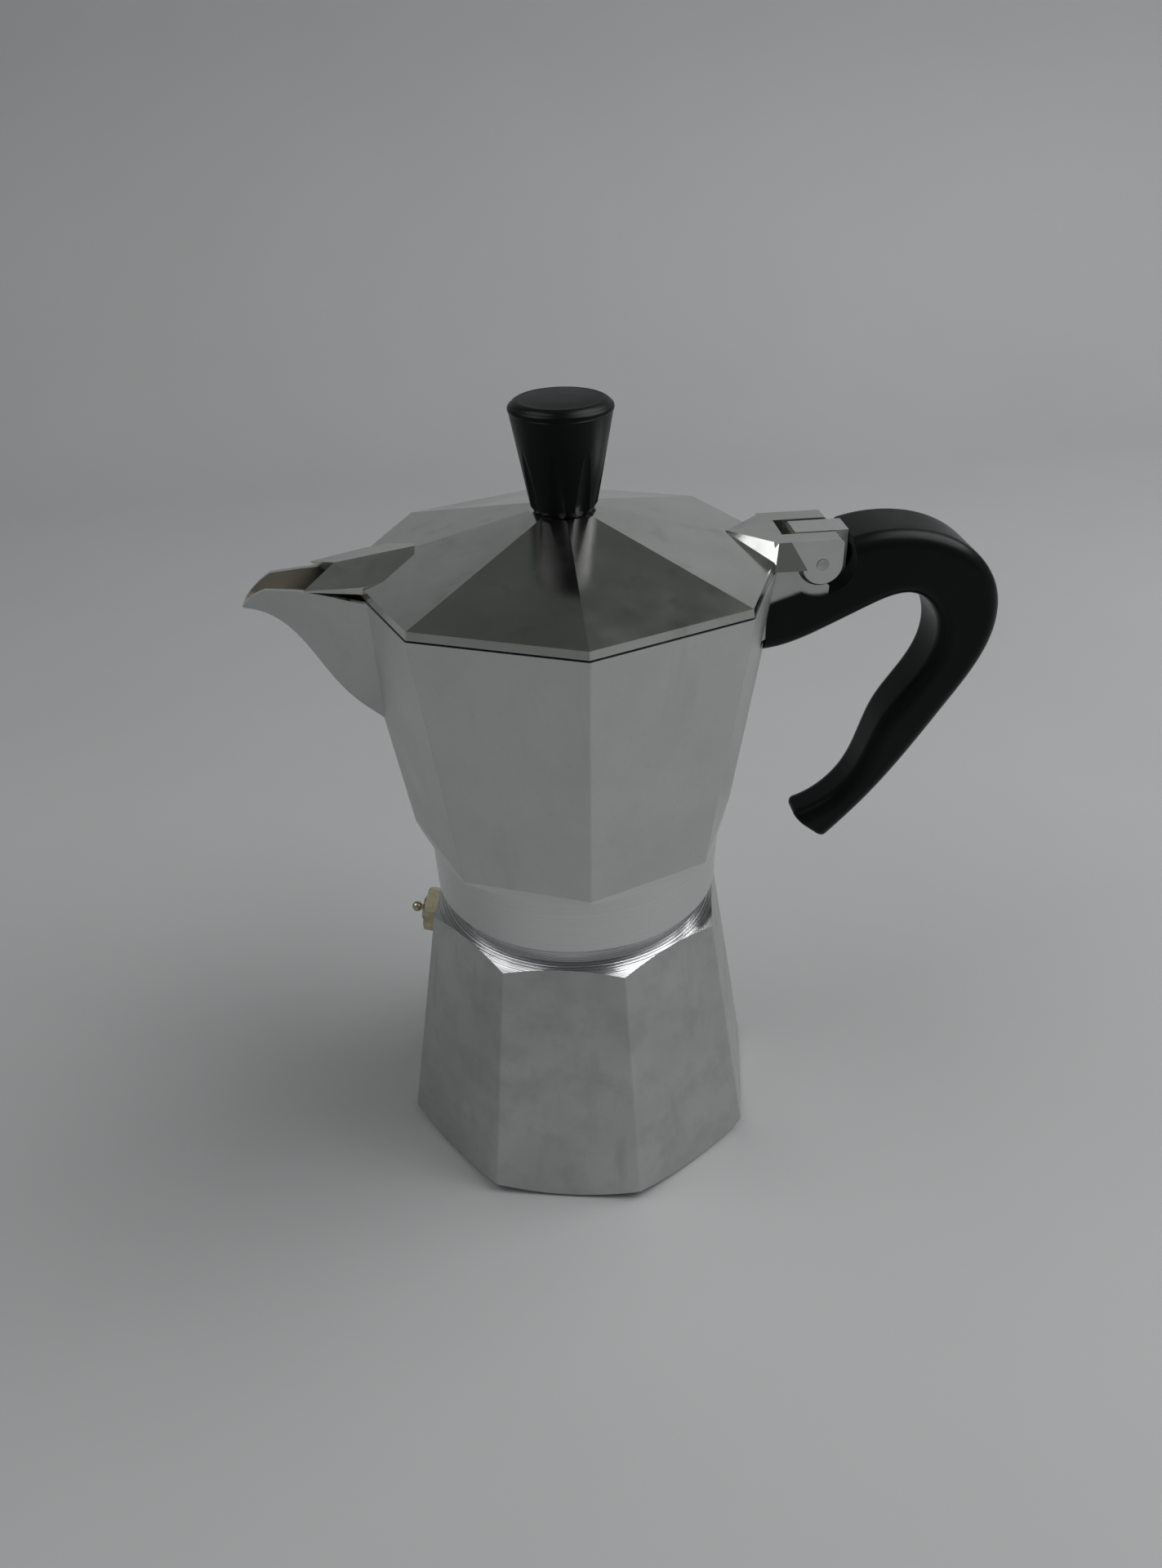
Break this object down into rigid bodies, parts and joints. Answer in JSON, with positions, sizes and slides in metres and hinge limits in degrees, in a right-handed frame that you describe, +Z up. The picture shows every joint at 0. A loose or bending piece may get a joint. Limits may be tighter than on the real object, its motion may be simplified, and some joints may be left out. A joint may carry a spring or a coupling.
{
  "type": "moka pot",
  "caption": "Eight-sided stove-top coffee pot: boiler with safety valve, screw-on collector with spout and handle, hinged lid with knob, funnel, filter and gasket inside.",
  "frame": {"origin": "centre of the flat foot under the boiler, on the pot's axis", "axes": "+Z up along the pot's axis, +X towards the handle, so the spout points along -X"},
  "size_m": [0.1906, 0.1106, 0.215],
  "materials": {
    "cast_aluminium": "satin cast aluminium, turned at the shoulder and neck",
    "polished_aluminium": "half-polished cast aluminium",
    "spun_aluminium": "plain thin aluminium",
    "valve_brass": "dull nickel-washed brass",
    "seal_washer": "dark fibre washer",
    "seal_rubber": "off-white silicone",
    "steel": "bright steel",
    "black_moulding": "satin black thermoset moulding"
  },
  "bodies": {
    "lower_vessel": {"boiler": "cast_aluminium", "valve_body": "valve_brass", "valve_washer": "seal_washer", "valve_cap": "valve_brass", "valve_spring": "steel"},
    "relief_pin": {"valve_pin": "valve_brass", "valve_seal": "seal_rubber"},
    "coffee_funnel": {"funnel": "spun_aluminium", "funnel_screen": "spun_aluminium"},
    "seal_set": {"gasket": "seal_rubber", "filter_plate": "spun_aluminium"},
    "upper_vessel": {"collector": "cast_aluminium", "column": "spun_aluminium", "handle": "black_moulding", "hinge_pin": "steel"},
    "lid_group": {"lid": "polished_aluminium", "knob": "black_moulding", "knob_insert": "valve_brass", "knob_screw": "steel", "knob_washer": "steel"}
  },
  "joints": [
    {"name": "collector_lift", "type": "slide", "parent": "lower_vessel", "child": "seal_set", "axis": [0, 0, 1], "range_m": [0, 0.16]},
    {"name": "collector_turn", "type": "hinge", "parent": "seal_set", "child": "upper_vessel", "pos_m": [0, 0, 0.09], "axis": [0, 0, 1], "range_deg": [0, 810]},
    {"name": "funnel_lift", "type": "slide", "parent": "lower_vessel", "child": "coffee_funnel", "axis": [0, 0, 1], "range_m": [0, 0.096]},
    {"name": "lid_hinge", "type": "hinge", "parent": "upper_vessel", "child": "lid_group", "pos_m": [0.0623, 0, 0.1737], "axis": [0, 1, 0], "range_deg": [0, 95]},
    {"name": "valve_lift", "type": "slide", "parent": "lower_vessel", "child": "relief_pin", "axis": [-0.9712, 0.1841, 0.1513], "range_m": [0, 0.0015], "stiffness_N_per_m": 300, "springref_m": -0.004, "deforming": ["valve_spring"]}
  ],
  "couplings": [
    {"joint": "funnel_lift", "follows": "collector_lift", "ratio": 0.6}
  ]
}
